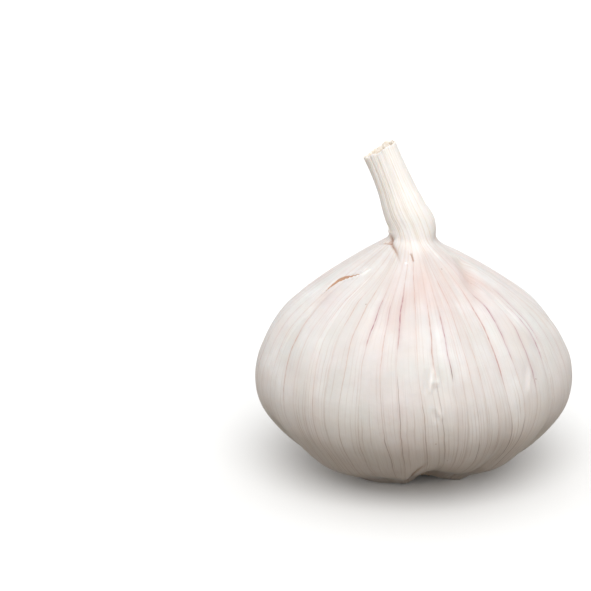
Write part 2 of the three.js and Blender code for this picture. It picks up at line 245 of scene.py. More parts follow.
def relief(angle, r, z, s):
    """How far the skin stands out of its smooth form, and the marks for where that colours it."""
    a = np.radians(angle)
    body = smooth(r, 12, 17) * (1 - smooth(z, 37, 43))
    neck = neck_share(angle, z)
    out = body * (0.1 * np.sin(3 * a + 0.11 * z + 1) * np.sin(0.21 * z + 2 * a)
                  + 0.07 * np.sin(7 * a - 0.16 * z) + 0.05 * np.sin(11 * a + 0.3 * z + 2.2))
    a = np.radians(fibre_at(angle, z))
    out += neck * 0.011 * np.cos(37 * a + 2 * np.sin(3 * a) + 0.1 * z)
    out += neck * 0.007 * np.cos(61 * a + 3 * np.sin(2 * a))
    for at, wide, table in SIDES:
        out += bell(turn(angle - at) / wide) * eased(z, table)

    brown_and_shade, pale_and_highlight = np.zeros_like(r), np.zeros_like(r)
    # Painted shade darkens the fold pits, the creases and the nick, a little browned along the creases.
    for at, height, wide, tall, deep in NECK_FOLDS:
        near = bell(turn(angle - at) / wide) * bell((z - height) / tall)
        out -= deep * near
        brown_and_shade += 0.2 * deep * near ** 2
    for points, deep, wide, stain_and_shade in CREASES:
        gap, share = beside(points, angle, r, s)
        crease = bell(gap / wide) * smooth(share, 0, 0.12) * (1 - smooth(share, 0.4, 1))
        bank = (wide < 1) * bell((gap - 4 * wide) / (3 * wide)) * (1 - smooth(share, 0.2, 1))
        out += deep * (0.5 * bank - crease)
        brown_and_shade += stain_and_shade * crease

    gap, share = beside(SLIT, angle, r, s)
    ends = smooth(share, 0.0, 0.05) * (1 - smooth(share, 0.86, 1))
    wide = 0.52 * smooth(share, 0.0, 0.35) * (1 - smooth(share, 0.42, 0.95)) + 0.12
    slit_gap, slit_width = gap - wide * 0.6, wide * ends
    slit = ends * (1 - smooth(np.abs(slit_gap), wide * 0.4, wide * 1.4))
    lip = ends * bell((gap + 0.32) / 0.3) * smooth(share, 0.15, 0.5)
    out += 0.28 * lip - 0.4 * slit
    pale_and_highlight += lip

    # Each crest is lightened in the colour as a painted highlight.
    for points, tall, thick in PUCKERS:
        gap, share = beside(points, angle, r, s)
        middle = smooth(share, 0, 0.4) * (1 - smooth(share, 0.82, 1))
        crest = middle * bell((gap - 0.15) / thick)
        out += tall * (crest - 0.8 * middle * bell((gap + 1.8 * thick) / thick))
        pale_and_highlight += 1.2 * tall * crest
    gap, share = beside(NICK, angle, r, s)
    nick = bell(gap / 0.15) * between(share, 0.1, 0.9, 0.1)
    gap, share = beside(FLECK, angle, r, s)
    fleck = bell(gap / 0.3) * between(share, 0.1, 0.9, 0.1)
    out += 0.25 * fleck - 0.3 * nick
    return out, {"brown_and_shade": brown_and_shade + 0.75 * nick, "pale_and_highlight": pale_and_highlight + fleck, "slit_gap": slit_gap,
                 "slit_width": slit_width}


# Veins run up the skin from the root plate into the neck. Those of the front: the angles that each passes
# at these heights, the heights that it is strong between, how strong, and how magenta.
VEIN_HEIGHTS = (10, 21, 30, 36, 41)
FRONT_VEINS = [
    ((-64, -68.5, -72.5, -75.5, -72), 27, 34, 0.45, 0.3), ((-57, -61, -65.5, -67.2, -64), 24, 32, 0.45, 0.3),
    ((-46, -51, -55.8, -62.3, -58), 19, 34, 0.85, 0.1), ((-41, -45.3, -49, -50.5, -48), 24, 30, 0.3, 0.1),
    ((-37, -39.3, -42.6, -42.6, -37), 34, 38, 0.8, 0.15), ((-33.5, -36, -39.8, -40.6, -35), 22, 30, 0.3, 0.0),
    ((-29, -31.3, -33.4, -33.3, -28), 33, 37, 0.6, 0.1), ((-24.3, -25.2, -26.5, -27, -23), 30, 38, 0.55, 0.1),
    ((-17.5, -18.1, -19.5, -19, -16.2), 31, 37, 1.0, 0.75),
    ((-7.4, -10.4, -12, -13, -10.5), 33.5, 37, 0.6, 0.7),
    ((-2.8, -4.4, -5.9, -6.7, -5), 31, 38, 1.0, 0.7), ((5.7, 3.7, 2.1, 1.9, 1.5), 35, 41, 0.5, 0.2),
    ((12, 10, 8.3, 9.5, 9.7), 27, 36, 0.8, 0.3), ((16, 15.5, 14.4, 15.4, 14.8), 27, 35, 0.85, 0.7),
    ((19, 18.5, 18, 18.3, 18), 22, 30, 0.3, 0.1), ((24.2, 22.2, 21, 22, 20.5), 31, 40, 0.5, 0.15),
    ((27, 25.5, 25, 25.5, 24), 12, 20, 0.3, 0.0), ((31, 29.3, 28, 29, 28.5), 32, 38, 0.3, 0.0),
    ((37.5, 34.5, 34.5, 36.6, 37), 24, 37, 0.85, 0.35), ((40.1, 41, 40.9, 43.6, 44), 27, 37, 0.85, 0.85),
    ((43.5, 47.7, 50, 54, 53), 22, 32, 0.85, 0.8), ((55, 56, 59.6, 61.2, 60), 26, 34, 0.9, 0.95),
    ((57, 57.9, 61.5, 63.8, 62.5), 28, 36, 0.7, 0.9), ((66, 67.5, 69.8, 74, 72), 26, 33, 0.4, 0.6),
]
# Some have a short dark end or a long dark foot as well: which vein, between which heights, how strong.
DARK_STRETCHES = [(13, 26.0, 27.6, 1.0), (10, 10, 26, 0.35), (12, 11, 25, 0.3), (18, 8, 17, 0.6),
                  (19, 6, 17, 0.55), (15, 9, 14, 0.55), (11, 9, 22, 0.25), (9, 9, 16, 0.4)]

# The others go on round the back in the same way, by chance.
BACK_VEINS = 33
chance = np.random.default_rng(11)
first, last = np.array(FRONT_VEINS[0][0]), np.array(FRONT_VEINS[-1][0])
steps = np.cumsum(chance.uniform(0.7, 1.3, BACK_VEINS + 1))
back_angles = last + (steps[:-1] / steps[-1])[:, None] * (first + 360 - last)
back_angles += chance.normal(0, 0.5, back_angles.shape)
vein_angles = np.concatenate([[angles for angles, *_ in FRONT_VEINS], back_angles])
vein_count = len(vein_angles)
back_low = chance.uniform(14, 30, BACK_VEINS)
strong_stretches = np.concatenate([[row[1:] for row in FRONT_VEINS], np.stack([
    back_low, back_low + chance.uniform(4, 14, BACK_VEINS), chance.uniform(0.3, 0.95, BACK_VEINS),
    chance.uniform(0, 0.95, BACK_VEINS)], -1)])
vein_base = chance.uniform(0.24, 0.5, vein_count)
vein_phase = chance.uniform(0, math.tau, vein_count)


def veins_at(angle, r, z):
    """The skin's place counted in veins, its mm for each vein, and how strong and magenta the nearest is."""
    counted, pitch = np.zeros_like(r), np.zeros_like(r)
    for row in range(len(r)):
        here = np.array([np.interp(z[row, 0], VEIN_HEIGHTS, angles) for angles in vein_angles])
        here = np.concatenate([here - 360, here, here + 360])
        fibre = fibre_at(angle[row], z[row])
        counted[row] = np.interp(fibre, here, np.arange(len(here)) - vein_count)
        gaps = np.radians(here[2:] - here[:-2]) / 2
        pitch[row] = np.interp(fibre, here[1:-1], gaps) * np.maximum(r[row], 2.5)
    nearest = np.round(counted).astype(int) % vein_count
    low, high, strength, share = strong_stretches[nearest].transpose(2, 0, 1)
    strong = smooth(z, low - 3, low + 2) * (1 - smooth(z, high - 2, high + 3))
    ink = vein_base[nearest] * (0.7 + 0.3 * np.sin(0.32 * z + vein_phase[nearest]))
    dark = np.zeros_like(r)
    for which, low, high, dark_strength in DARK_STRETCHES:
        dark = np.maximum(dark, dark_strength * (nearest == which) * between(z, low, high, 0.9))
    return {"vein": counted, "pitch": pitch, "ink": np.maximum(ink, strength * strong),
            "magenta": share * strong, "dark": dark}


# Blush on the shoulders, deepest under the neck: angle, height, how far each way, strength.
BLUSHES = [(10, 38.5, 26, 4.2, 0.85), (50, 37.5, 13, 3.4, 1.0), (-60, 35.8, 9, 1.6, 0.7),
           (-12, 34, 9, 3.5, 0.4), (58, 29, 9, 5, 0.35), (120, 37, 22, 4, 0.7), (200, 37.5, 30, 3.5, 0.8),
           (-110, 36, 20, 4, 0.5), (160, 28, 12, 5, 0.3)]


def surface(places, angles):
    """Points on the skin, with the marks that its relief and its colours are worked out from."""
    place, angle = np.meshgrid(places, angles, indexing="ij")
    r, z = along(0, place), along(1, place)
    s = np.interp(place, fine, skin_length)
    dr, dz = (along(c, place + 0.01) - along(c, place - 0.01) for c in (0, 1))
    out_r, out_z = dz / np.hypot(dr, dz), -dr / np.hypot(dr, dz)
    furrow, swell, lift = clove_at(angle)
    off_plate = smooth(r, 9, 13.5)
    drawn_up = eased(turn(angle), SETTLED) * off_plate * (1 - smooth(z, 1, 10))
    out, marks = relief(angle, r, z, s)
    bridged = 1 - bell(turn(angle - 8) / 34) * (0.95 - 0.15 * smooth(z, 3, 8))
    out += swell * smooth(r, 11, 20) * (1 - smooth(z, 36, 44)) - furrow * bridged * along(2, place)
    pleat = pleat_at(angle, z)
    out += pleat * along(3, place) - lift * off_plate * (1 - smooth(z, 2, 11))
    ragged = ragged_at(angle) * smooth(place, len(OUTLINE) - 3, len(OUTLINE) - 1)
    points = around(r + out_r * out, angle, z + out_z * out + drawn_up + ragged)
    points[..., 2] = np.maximum(points[..., 2], 0)

    neck = neck_share(angle, z)
    marks |= {
        "neck": neck, "way_up": s, "cut": np.zeros_like(r),
        # Down the neck's pleat creases: partly the sheath's own colour, partly painted shade.
        "pleat_tan_and_shade": neck * smooth(-pleat, 0.35, 0.8),
        # Greyer and darker towards the bottom: partly grime, partly painted shade.
        "foot": 1 - smooth(z, 11, 30),
        "soil": (1 - smooth(r, 11.5, 18)) * (1 - smooth(z, 2, 5)),
        "blush": sum(strength * bell(turn(angle - at) / wide) * bell((z - height) / tall)
                     for at, height, wide, tall, strength in BLUSHES),
        "slack": (smooth(r, 12, 17) * smooth(z, 1, 8) * (1 - smooth(z, 37, 43))
                  * (0.5 + 0.5 * smooth(z, 14, 30))),
    }
    return points, marks | veins_at(angle, r, z)


body_places = np.concatenate([
    rows_between(0.4, 4, HOLLOW_ROWS)[:-1], rows_between(4, SHOULDER_ROW, BODY_ROWS),
    rows_between(SHOULDER_ROW, NECK_ROW, SHOULDER_ROWS)[1:]])
neck_places = rows_between(NECK_ROW, len(OUTLINE) - 1, NECK_ROWS)[1:]
even_angles = np.arange(BODY_COLUMNS) * 360 / BODY_COLUMNS - 180
body_angles = even_angles - 16 * np.sin(np.radians(even_angles))  # closer together in front
neck_angles = body_angles[::2]
body_points, body_marks = surface(body_places, body_angles)
neck_points, neck_marks = surface(neck_places, neck_angles)

# The cut end: the outer sheaths, inner sheaths and the dried flower stalk stand as uneven rings. Each is
# a share of the neck's radius and a height over the cut.
CUT_END = [(0.985, 0.1), (0.93, 0.14), (0.9, 0.05), (0.885, -0.22), (0.865, 0.02), (0.82, 0.04), (0.79, -0.2),
           (0.75, -0.75), (0.71, -0.8), (0.655, -0.72), (0.63, -0.3), (0.6, -0.12), (0.545, -0.1),
           (0.525, -0.34), (0.5, -0.12), (0.45, -0.15), (0.415, -0.35), (0.37, -0.85), (0.32, -0.95),
           (0.27, -0.5), (0.2, -0.42), (0.12, -0.6), (0.05, -0.8)]
a = np.radians(neck_angles)
at_cut = np.full(NECK_COLUMNS, NECK_CUT)
rim = OUTLINE[-1, 0] + pleat_at(neck_angles, at_cut) * OUTLINE[-1, 3]
rim += relief(neck_angles, 0 * at_cut + OUTLINE[-1, 0], at_cut, 0 * at_cut + skin_length[-1])[0]
cut_points = []
for share, over in CUT_END:
    inside = 1 - smooth(share, 0.85, 1.0)
    crushed = share * (1 + inside * (0.06 * np.sin(3 * a + 9 * share) + 0.03 * np.sin(8 * a + 17 * share)))
    high = NECK_CUT + over + ragged_at(neck_angles) * smooth(share, 0, 0.8)
    high += inside * 0.05 * np.sin(13 * a + 31 * share)
    cut_points.append(around(rim * crushed, neck_angles, high))
foot_point = (*MIDDLE, OUTLINE[0, 1])
cut_middle_point = around(np.zeros(1), np.zeros(1), np.array([NECK_CUT - 0.8]))
points = np.concatenate([body_points.reshape(-1, 3), neck_points.reshape(-1, 3),
                         np.reshape(cut_points, (-1, 3)), [foot_point], cut_middle_point])


def grid_faces(start, rows, columns):
    """Quads between rows of points that run round the middle line."""
    row, column = np.meshgrid(np.arange(rows - 1), np.arange(columns), indexing="ij")
    left, right = start + row * columns + column, start + row * columns + (column + 1) % columns
    return np.stack([left, right, right + columns, left + columns], -1).reshape(-1, 4).tolist()


def fan_faces(middle, start, columns, turned_over=False):
    """Triangles from a middle point to the row of points round it."""
    k = np.arange(columns)
    ends = (start + k, start + (k + 1) % columns)
    return np.stack([np.full(columns, middle), *(ends[::-1] if turned_over else ends)], -1).tolist()


# Where the body's columns meet the neck's, each two are sewn to one with three triangles.
neck_start = body_points.shape[0] * BODY_COLUMNS
neck_and_cut_rows = len(neck_places) + len(CUT_END)
foot_middle = neck_start + neck_and_cut_rows * NECK_COLUMNS
k = np.arange(NECK_COLUMNS)
left, middle, right = (neck_start - BODY_COLUMNS + (2 * k + n) % BODY_COLUMNS for n in (0, 1, 2))
low, high = neck_start + k, neck_start + (k + 1) % NECK_COLUMNS
sewn = [np.stack(three, -1) for three in ((left, middle, low), (middle, high, low), (middle, right, high))]
faces = grid_faces(0, body_points.shape[0], BODY_COLUMNS)
faces += grid_faces(neck_start, neck_and_cut_rows, NECK_COLUMNS)
faces += np.concatenate(sewn).tolist() + fan_faces(foot_middle, 0, BODY_COLUMNS, turned_over=True)
faces += fan_faces(foot_middle + 1, foot_middle - NECK_COLUMNS, NECK_COLUMNS)
tight_skin = bpy.data.meshes.new("tight_skin")
tight_skin.from_pydata((points * MM).tolist(), [], faces)
tight_skin.shade_smooth()

# The marks go on the mesh as attributes. On the cut end they are plain and far from the slit, and the mark
# that darkens the colour says how deep it is, for painted shade down between the sheaths.
on_cut = {"neck": 1, "cut": 1, "slit_gap": 9, "pitch": 0.4, "vein": neck_marks["vein"][-1],
          "way_up": skin_length[-1], "brown_and_shade": [[max(0, -over)] * NECK_COLUMNS for _, over in CUT_END]}
marks = {}
for name in body_marks:
    cut = np.zeros((len(CUT_END), NECK_COLUMNS)) + on_cut.get(name, 0)
    middles = [0, 1 if name in ("neck", "cut") else 0]
    marks[name] = np.concatenate([body_marks[name].ravel(), neck_marks[name].ravel(), cut.ravel(), middles])
    attribute = tight_skin.attributes.new(name, "FLOAT", "POINT")
    attribute.data.foreach_set("value", marks[name].astype(np.float32))

# Two maps. VeinMap counts veins round the bulb and centimetres up the skin. OFBake spreads the whole skin
# over one square for a painted copy of its colours. Both go on past the seam at the back.
corner = np.zeros(len(tight_skin.loops), int)
tight_skin.loops.foreach_get("vertex_index", corner)
face_of = np.repeat(np.arange(len(faces)), [len(face) for face in faces])
angle_of = np.concatenate([np.tile(body_angles, len(body_places)), np.tile(neck_angles, neck_and_cut_rows),
                           [0, 0]])
furthest = np.full(len(faces), -180.0)
np.maximum.at(furthest, face_of, angle_of[corner])
past_seam = (furthest[face_of] > 90) & (angle_of[corner] < -90)
inward = np.zeros(len(points))
cut_start = foot_middle - len(CUT_END) * NECK_COLUMNS
inward[cut_start:foot_middle] = np.repeat([1 - share for share, _ in CUT_END], NECK_COLUMNS)
inward[-1] = 1
for name, across, upward in (
    ("VeinMap", marks["vein"][corner] + past_seam * vein_count, marks["way_up"][corner] / 10),
    ("OFBake", (angle_of[corner] + past_seam * 360 + 180) / 360,
     0.02 + 0.88 * marks["way_up"][corner] / skin_length[-1] + 0.08 * inward[corner]),
):
    tight_skin.uv_layers.new(name=name).data.foreach_set(
        "uv", np.stack([across, upward], -1).astype(np.float32).ravel())


def linear(code):
    """An sRGB hex colour as linear RGBA."""
    channels = (int(code[k:k + 2], 16) / 255 for k in (1, 3, 5))
    return (*(c / 12.92 if c <= 0.04045 else ((c + 0.055) / 1.055) ** 2.4 for c in channels), 1)


def fill(tree, node, values):
    """Sets a node's inputs, by place or name, to the values given, or links them."""
    for socket, value in values.items():
        if isinstance(value, bpy.types.NodeSocket):
            tree.links.new(value, node.inputs[socket])
        elif value is not None:
            node.inputs[socket].default_value = value


def put(tree, kind, *inputs, also=None, out=0, **settings):
    """Adds a node with its settings and its inputs, in order and then by place or name. One of its outputs
    comes back."""
    node = tree.nodes.new(kind)
    for name, value in settings.items():
        setattr(node, name, value)
    fill(tree, node, {**dict(enumerate(inputs)), **(also or {})})
    return node.outputs[out]


def layered(tree, colour, layers):
    """A colour with others laid over it in turn, each by an amount and at a strength."""
    for amount, code, strength in layers:
        share = put(tree, "ShaderNodeMath", amount, strength, operation="MULTIPLY", use_clamp=True)
        paint = code if isinstance(code, bpy.types.NodeSocket) else linear(code)
        colour = put(tree, "ShaderNodeMix", share, also={6: colour, 7: paint}, out=2, data_type="RGBA")
    return colour


def new_finish(name):
    """A new material, its node tree and its shader."""
    finish = bpy.data.materials.new(name)
    finish.use_nodes = True
    return finish, finish.node_tree, finish.node_tree.nodes["Principled BSDF"]


# Dried garlic skin: a few cells thick, smooth and slightly waxy, with fine fibres that run up it. Its
# veins carry the brown and the purple, and it is ivory where it is layered thick at the neck.
skin, t, shader = new_finish("dried_garlic_skin")
ink, magenta, dark, blush, neck, pleat_tan_and_shade, brown_and_shade, pale_and_highlight, foot, soil, pitch, slit_gap, slit_width = (
    put(t, "ShaderNodeAttribute", out="Fac", attribute_name=name)
    for name in ("ink", "magenta", "dark", "blush", "neck", "pleat_tan_and_shade", "brown_and_shade", "pale_and_highlight", "foot", "soil", "pitch",
                 "slit_gap", "slit_width"))
here = put(t, "ShaderNodeTexCoord", out="Object")
map_place = put(t, "ShaderNodeUVMap", uv_map="VeinMap")
counted = put(t, "ShaderNodeSeparateXYZ", map_place)


def uneven(across, up, *detail, out=0):
    """A noise with so many patches from vein to vein, and so many to a centimetre up the skin."""
    place = put(t, "ShaderNodeVectorMath", map_place, (across, up, 0), operation="MULTIPLY")
    return put(t, "ShaderNodeTexNoise", place, None, 1.0, *detail, out=out)


# Each vein sways and trembles a little, is a quarter to a third of a millimetre wide, and is uneven.
sway = put(t, "ShaderNodeMath", uneven(0.45, 1.1, 3.5, 0.5), -0.5, operation="ADD")
vein_place = put(t, "ShaderNodeMath", sway, 0.34, counted, operation="MULTIPLY_ADD")
off_vein = put(t, "ShaderNodeMath", vein_place, 0.5, operation="PINGPONG")
off_vein = put(t, "ShaderNodeMath", off_vein, pitch, operation="MULTIPLY")
half_width = put(t, "ShaderNodeMath", ink, 0.06, 0.12, operation="MULTIPLY_ADD")
vein = put(t, "ShaderNodeMapRange", off_vein, 0.0, half_width, 1.0, 0.0, interpolation_type="SMOOTHSTEP")
halo = put(t, "ShaderNodeMapRange", off_vein, 0.0, 1.0, 0.18, 0.0, interpolation_type="SMOOTHSTEP")
beads = put(t, "ShaderNodeMapRange", uneven(1.3, 6.0, 2.0), 0.35, 0.65, 0.55, 1.25)
beaded_ink = put(t, "ShaderNodeMath", beads, ink, operation="MULTIPLY")
vein_ink, halo_ink = (
    put(t, "ShaderNodeMath", *pair, operation="MULTIPLY") for pair in ((vein, beaded_ink), (halo, ink)))

# Threads: three or four finer veins between each two, a third of a millimetre wide, that come and go.
THREADS = 3.4
thread_place = put(t, "ShaderNodeMath", vein_place, THREADS, operation="MULTIPLY")
thread = put(t, "ShaderNodeTexVoronoi", also={"W": thread_place, "Scale": 1.0, "Randomness": 0.85},
             voronoi_dimensions="1D", feature="DISTANCE_TO_EDGE")
thread_pitch = put(t, "ShaderNodeMath", pitch, 1 / THREADS, operation="MULTIPLY")
off_thread = put(t, "ShaderNodeMath", thread, thread_pitch, operation="MULTIPLY")
thread = put(t, "ShaderNodeMapRange", off_thread, 0.0, 0.16, 1.0, 0.0, interpolation_type="SMOOTHSTEP")
fading = put(t, "ShaderNodeMapRange", uneven(2.6, 0.9, 2.0), 0.42, 0.75)
neck_fading = put(t, "ShaderNodeMapRange", neck, 0.0, 1.0, 1.0, 0.3)
for factor in (fading, neck_fading):
    thread = put(t, "ShaderNodeMath", thread, factor, operation="MULTIPLY")

# Fibres: streaks about 0.15 mm wide and a centimetre long.
fibre = uneven(22.0, 1.3, 3.0, 0.6)
fibre_tone = put(t, "ShaderNodeMapRange", fibre, 0.35, 0.75, 0.0, 0.35)

# Each strip between two veins has a tone of its own, and soft patches lie over about three strips and a
# centimetre of their height.
strip = put(t, "ShaderNodeMath", vein_place, operation="FLOOR")
strip = put(t, "ShaderNodeMath", strip, float(vein_count), operation="FLOORED_MODULO")
strip_tone = put(t, "ShaderNodeTexWhiteNoise", also={"W": strip}, noise_dimensions="1D")
patches = uneven(0.36, 0.9, 2.0, out="Color")
patches = [put(t, "ShaderNodeSeparateColor", patches, out=k) for k in (0, 1, 2)]
pink_patch, grey_patch, beige_patch = (put(t, "ShaderNodeMapRange", patch, 0.45, 0.7) for patch in patches)
white_patch = put(t, "ShaderNodeMapRange", patches[0], 0.48, 0.33)

# The slit: brown where the inner skin shows, with a thin and slightly frayed edge.
fray = put(t, "ShaderNodeTexNoise", here, None, 1 / (0.9 * MM), 2.0)
fray = put(t, "ShaderNodeMath", fray, 0.16, -0.08, operation="MULTIPLY_ADD")
off_slit = put(t, "ShaderNodeMath", slit_gap, operation="ABSOLUTE")
off_slit = put(t, "ShaderNodeMath", off_slit, fray, operation="ADD")
inside_slit = put(t, "ShaderNodeMath", slit_width, off_slit, operation="SUBTRACT")
inside_slit = put(t, "ShaderNodeMapRange", inside_slit, -0.02, 0.12, interpolation_type="SMOOTHSTEP")

# Specks: brown dots 0.2 to 0.4 mm across, here and there.
speck = put(t, "ShaderNodeTexVoronoi", here, None, 1 / (6.5 * MM), feature="F1")
speck = put(t, "ShaderNodeMapRange", speck, 0.012, 0.03, 0.55, 0.0)

# Mottling: pale and greyish spots a few millimetres across, where the skin is thinner or lies loose.
mottle = put(t, "ShaderNodeTexNoise", here, None, 1 / (4.2 * MM), 3.0, 0.55)
mottle_tone = put(t, "ShaderNodeMapRange", mottle, 0.4, 0.66)

# The neck is ivory, but the ivory starts late at its foot, which faces up into the light: painted shade
# there.
ivory_and_foot_shade = put(t, "ShaderNodeMapRange", neck, 0.35, 1.0)
# The veins grey towards the bottom too: partly grime, partly painted shade.
vein_colour = layered(t, linear("#C49078"), [
    (foot, "#9C8A7E", 0.75), (magenta, "#A56C84", 1.0), (neck, "#CDB98C", 0.85)])
dark_vein, foot_vein, foot_thread, foot_fibre = (
    put(t, "ShaderNodeMath", line, where, operation="MULTIPLY")
    for line, where in ((vein, dark), (vein, foot), (thread, foot), (fibre_tone, foot)))
blush_patch = put(t, "ShaderNodeMapRange", patches[2], 0.35, 0.65, 0.45, 1.3)
blush = put(t, "ShaderNodeMath", blush, blush_patch, operation="MULTIPLY")
skin_colour = layered(t, linear("#E8E6E4"), [
    (white_patch, "#F2F2F1", 0.7), (pink_patch, "#E2D6D5", 0.5), (grey_patch, "#DCDEDA", 0.8),
    (beige_patch, "#E0D5CB", 0.4), (mottle_tone, "#CFC9C4", 0.3), (strip_tone, "#D5CCC9", 0.25),
    # From here, the layers for the bottom grey and darken the skin, its fibres, threads and veins: partly
    # grime, partly painted shade.
    (foot, "#BFB4A9", 0.42), (fibre_tone, "#D3C9C3", 0.48), (blush, "#DBB9B1", 0.42),
    (ivory_and_foot_shade, "#FCF8F5", 0.97), (halo_ink, vein_colour, 0.8), (thread, "#BDA396", 0.3),
    (vein_ink, vein_colour, 0.85), (foot_fibre, "#A99C90", 0.58), (foot_thread, "#9C8C7E", 0.45),
    (foot_vein, "#87766A", 0.2), (dark_vein, "#735858", 0.85), (soil, "#B79F80", 0.55),
    # Next: painted shade down the neck's pleats and in the folds, creases, trough and nick, partly the skin's
    # own colour.
    (pleat_tan_and_shade, "#D9C5AC", 0.45), (brown_and_shade, "#AD7B58", 0.9), (inside_slit, "#BE9070", 0.95),
    # Next: the torn lip and the fleck are lighter, and the puckers' crests carry painted highlights.
    (pale_and_highlight, "#FCFAF7", 0.8), (speck, "#8A5A3A", 1.0)])

# Veins and threads lie a few hundredths of a millimetre deep, and the skin is finely crinkled.
crinkle = put(t, "ShaderNodeTexNoise", here, None, 1 / (2.4 * MM), 3.0)
height = put(t, "ShaderNodeMath", vein, -0.25, operation="MULTIPLY")
for line, amount in ((thread, -0.12), (fibre, 0.5), (crinkle, 0.5), (mottle, 2.2)):
    height = put(t, "ShaderNodeMath", line, amount, height, operation="MULTIPLY_ADD")
fill(t, shader, {
    "Base Color": skin_colour, "Normal": put(t, "ShaderNodeBump", 0.5, 0.12 * MM, also={"Height": height}),
    "Roughness": put(t, "ShaderNodeMapRange", fibre, 0.3, 0.7, 0.42, 0.56), "IOR": 1.45,
    "Sheen Weight": 0.25, "Sheen Roughness": 0.45, "Subsurface Weight": 0.5,
    "Subsurface Radius": (1.0, 0.8, 0.65), "Subsurface Scale": 1.0 * MM})

# Dried leaf sheath, cut across: dull cream-coloured layers, with painted shade darkening the gaps between
# them.
cut_sheath, t, shader = new_finish("cut_leaf_sheath")
here = put(t, "ShaderNodeTexCoord", out="Object")
depth = put(t, "ShaderNodeAttribute", out="Fac", attribute_name="brown_and_shade")
deep = put(t, "ShaderNodeMapRange", depth, 0.05, 0.8)
grain = put(t, "ShaderNodeTexNoise", here, None, 1 / (0.4 * MM), 3.0)
grain_tone = put(t, "ShaderNodeMapRange", grain, 0.4, 0.65)
fill(t, shader, {
    "Base Color": layered(t, linear("#F5EFE7"), [(grain_tone, "#DFD0BA", 0.9), (deep, "#A08A6C", 0.65)]),
    "Normal": put(t, "ShaderNodeBump", 0.35, 0.1 * MM, also={"Height": grain}), "Roughness": 0.85})


def new_tree(name, **inputs):
    """A Geometry Nodes tree with its named inputs, after any geometry that it starts from."""
    tree = bpy.data.node_groups.new(name, "GeometryNodeTree")
    for title, kind in inputs.items():
        tree.interface.new_socket(title, in_out="INPUT", socket_type="NodeSocket" + kind)
    tree.interface.new_socket("Geometry", in_out="OUTPUT", socket_type="NodeSocketGeometry")
    return tree, tree.nodes.new("NodeGroupInput").outputs


def in_scene(name, data):
    """A new object in the scene, with its mesh, lamp or camera."""
    thing = bpy.data.objects.new(name, data)
    bpy.context.scene.collection.objects.link(thing)
    return thing


def grown(name, start, tree, **sizes):
    """The piece that a Geometry Nodes tree with these sizes makes from a starting mesh, as a plain mesh."""
    seed = in_scene(name + "_seed", start)
    modifier = seed.modifiers.new("grow", "NODES")
    modifier.node_group = tree
    for item in tree.interface.items_tree:
        if item.in_out == "INPUT" and item.name in sizes:
            modifier[item.identifier] = sizes[item.name]
    finished = bpy.data.meshes.new_from_object(seed.evaluated_get(bpy.context.evaluated_depsgraph_get()))
    seed.modifiers.remove(modifier)
    bpy.data.objects.remove(seed)
    finished.name = name
    return in_scene(name, finished)


# The skin is a little slack between its veins: each strip bows out or in by its own amount, most in its
# middle, as 4 x (1 - x) across it.
t, given = new_tree("slack_skin", Geometry="Geometry", Bow="Float", Veins="Int", Seed="Int")
counted, slack, cut = (
    put(t, "GeometryNodeInputNamedAttribute", name, data_type="FLOAT") for name in ("vein", "slack", "cut"))
strip = put(t, "ShaderNodeMath", counted, operation="FLOOR")
strip = put(t, "ShaderNodeMath", strip, given["Veins"], operation="FLOORED_MODULO")
across = put(t, "ShaderNodeMath", counted, operation="FRACT")
rest = put(t, "ShaderNodeMath", across, 4.0, operation="MULTIPLY")
rest = put(t, "ShaderNodeMath", 4.0, rest, operation="SUBTRACT")
bow = put(t, "FunctionNodeRandomValue", also={2: -0.7, 3: 1.0, "ID": strip, "Seed": given["Seed"]}, out=1)
for factor in (across, rest, slack, given["Bow"]):
    bow = put(t, "ShaderNodeMath", bow, factor, operation="MULTIPLY")
offset = put(t, "ShaderNodeVectorMath", put(t, "GeometryNodeInputNormal"), also={3: bow}, operation="SCALE")
made = put(t, "GeometryNodeSetPosition", given["Geometry"], also={"Offset": offset})
made = put(t, "GeometryNodeRealizeInstances", made)
made = put(t, "GeometryNodeSetMaterial", made, also={"Material": skin})
on_cut_end = put(t, "FunctionNodeCompare", cut, 0.6)
made = put(t, "GeometryNodeSetMaterial", made, on_cut_end, cut_sheath)
t.links.new(made, t.nodes.new("NodeGroupOutput").inputs[0])

bulb = grown("garlic_bulb", tight_skin, t, Bow=0.05 * MM, Veins=vein_count, Seed=4)
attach(bulb, "root")
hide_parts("bulb")

# ---- The torn skin round the roots ----
# The outer skins end round the root plate. Trimming the roots tore them into small dry flaps, which lie
# inwards over the stubs.
t, given = new_tree("torn_flaps", Count="Int", Ring="Float", Length="Float", Width="Float",
                    Thickness="Float", Seed="Int")
flap_skin, s, shader = new_finish("torn_garlic_skin")
GOLDEN_ANGLE = 2.39996  # in radians; steps of it spread things evenly round a ring


def pick(low, high, salt):
    """A random number for each flap or root."""
    seed = put(t, "ShaderNodeMath", given["Seed"], float(salt), operation="ADD")
    return put(t, "FunctionNodeRandomValue", also={2: low, 3: high, "Seed": seed}, out=1)


def times(*factors):
    """Values multiplied together."""
    product = factors[0]
    for factor in factors[1:]:
        product = put(t, "ShaderNodeMath", product, factor, operation="MULTIPLY")
    return product


def squeezed(geometry, lowest, highest):
    """The geometry with its heights eased in between a lowest and a highest one."""
    half = (highest - lowest) / 2
    x, y, z = (put(t, "ShaderNodeSeparateXYZ", put(t, "GeometryNodeInputPosition"), out=k) for k in (0, 1, 2))
    z = put(t, "ShaderNodeMath", z, 1 / half, -(lowest + half) / half, operation="MULTIPLY_ADD")
    z = put(t, "ShaderNodeMath", z, operation="TANH")
    z = put(t, "ShaderNodeMath", z, half, lowest + half, operation="MULTIPLY_ADD")
    place = put(t, "ShaderNodeCombineXYZ", x, y, z)
    return put(t, "GeometryNodeSetPosition", geometry, also={"Position": place})


